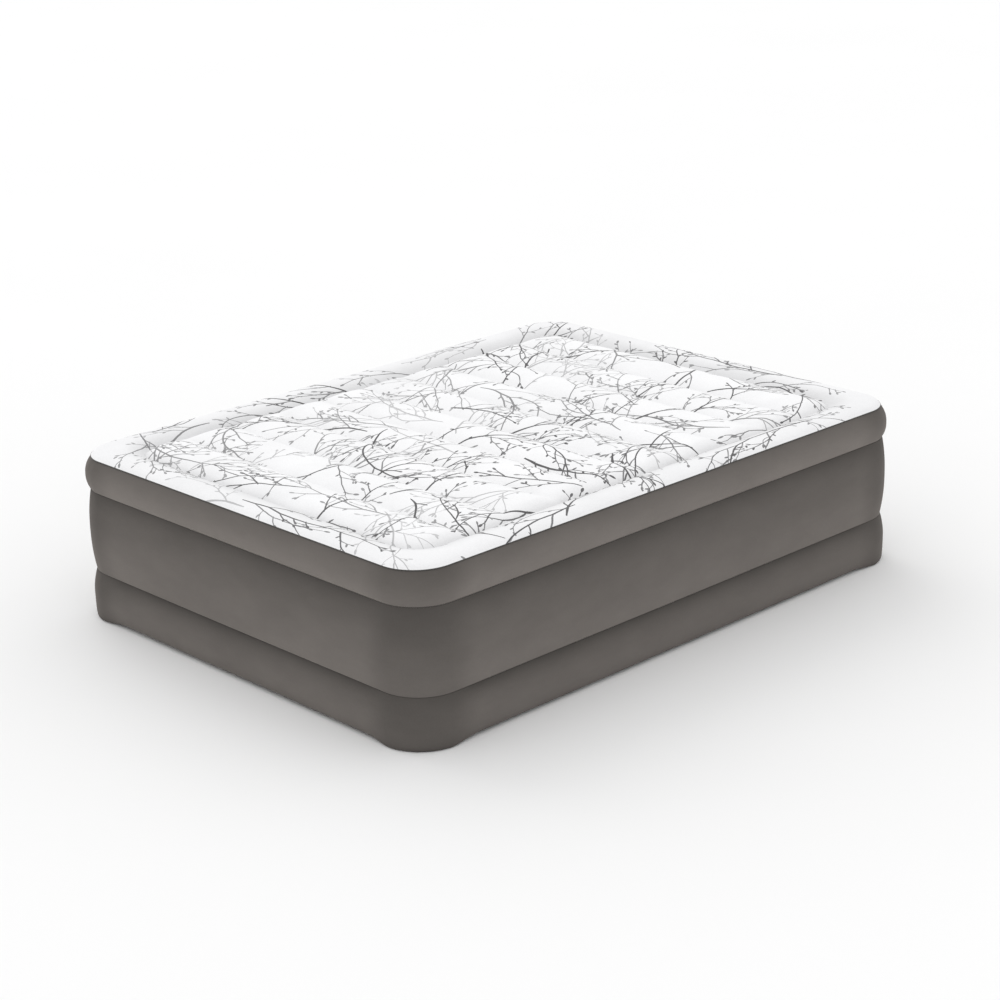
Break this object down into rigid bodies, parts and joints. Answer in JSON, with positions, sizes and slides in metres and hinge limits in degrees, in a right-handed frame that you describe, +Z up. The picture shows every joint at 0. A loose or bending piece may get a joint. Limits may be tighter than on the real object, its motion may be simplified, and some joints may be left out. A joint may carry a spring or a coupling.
{
  "type": "air mattress",
  "caption": "Raised air bed with a flocked printed top, crosswise air beams, banded sides and a built-in electric pump behind a recessed control panel.",
  "frame": {"origin": "centre of the footprint, on the floor", "axes": "X across the width, +Y along the length towards the head end with the pump, +Z up"},
  "size_m": [1.5212, 2.0312, 0.5148],
  "materials": {
    "top_flock": "white flocked film with a grey twig print",
    "side_flock": "short velvet flock, warm grey",
    "base_film": "fine embossed vinyl film",
    "seam_weld": "pressed weld bead",
    "tie_film": "translucent vinyl sheet",
    "collar_vinyl": "soft moulded vinyl",
    "seal_rubber": "matt",
    "screw_steel": "zinc plated",
    "bezel_plastic": "fine moulded texture",
    "knob_plastic": "satin moulded",
    "switch_plastic": "semi gloss",
    "inner_plastic": "moulded, natural white",
    "motor_steel": "plated can",
    "wire_insulation": "smooth insulation"
  },
  "bodies": {
    "mattress": {"top_sheet": "top_flock", "upper_side_band": "side_flock", "middle_side_band": "side_flock", "lower_side_band": "side_flock", "bottom_sheet": "base_film", "top_seam": "seam_weld", "upper_waist_seam": "seam_weld", "lower_waist_seam": "seam_weld", "floor_seam": "seam_weld", "upper_diaphragm": "tie_film", "lower_diaphragm": "tie_film", "rim_tie": "tie_film", "beam_tie_1": "tie_film", "beam_tie_2": "tie_film", "beam_tie_3": "tie_film", "beam_tie_4": "tie_film", "beam_tie_5": "tie_film", "beam_tie_6": "tie_film", "beam_tie_7": "tie_film", "beam_tie_8": "tie_film", "beam_tie_9": "tie_film", "middle_tie_1": "tie_film", "middle_tie_2": "tie_film", "middle_tie_3": "tie_film", "middle_tie_4": "tie_film", "base_tie_1": "tie_film", "base_tie_2": "tie_film", "base_tie_3": "tie_film", "base_tie_4": "tie_film", "pump_collar": "collar_vinyl", "bezel_gasket": "seal_rubber", "clamp_ring": "inner_plastic", "clamp_screws": "screw_steel", "pump_bezel": "bezel_plastic", "air_grille": "bezel_plastic", "shaft_seal": "seal_rubber", "valve_chamber": "inner_plastic", "switch_body": "switch_plastic", "door_hinge_pins": "screw_steel", "cord_well": "inner_plastic", "cord_grommet": "seal_rubber", "pump_housing": "inner_plastic", "housing_screws": "screw_steel", "fan_volute": "inner_plastic", "fan_back_plate": "inner_plastic", "motor": "motor_steel", "motor_ring": "seal_rubber", "motor_cradle": "inner_plastic", "outlet_duct": "inner_plastic", "flap_hinge_pin": "screw_steel", "pump_wiring": "wire_insulation"},
    "selector": {"selector_knob": "knob_plastic", "selector_shaft": "inner_plastic", "selector_drum": "inner_plastic"},
    "rocker": {"rocker_switch": "switch_plastic"},
    "cord_door": {"cord_door": "bezel_plastic"},
    "rotor": {"impeller": "inner_plastic", "motor_shaft": "screw_steel"},
    "outlet_flap": {"outlet_flap": "seal_rubber"}
  },
  "joints": [
    {"name": "selector_turn", "type": "hinge", "parent": "mattress", "child": "selector", "pos_m": [-0.352, 0.9895, 0.276], "axis": [0, 1, 0], "range_deg": [-60, 60]},
    {"name": "rocker_press", "type": "hinge", "parent": "mattress", "child": "rocker", "pos_m": [-0.403, 0.981, 0.276], "axis": [1, 0, 0], "range_deg": [0, 16]},
    {"name": "cord_door_open", "type": "hinge", "parent": "mattress", "child": "cord_door", "pos_m": [-0.483, 0.985, 0.276], "axis": [0, 0, 1], "range_deg": [0, 90]},
    {"name": "rotor_spin", "type": "hinge", "parent": "mattress", "child": "rotor", "pos_m": [-0.352, 0.9195, 0.276], "axis": [0, 1, 0], "continuous": true},
    {"name": "flap_open", "type": "hinge", "parent": "mattress", "child": "outlet_flap", "pos_m": [-0.405, 0.872, 0.292], "axis": [-1, 0, 0], "range_deg": [0, 45], "stiffness_Nm_per_rad": 0.005}
  ]
}
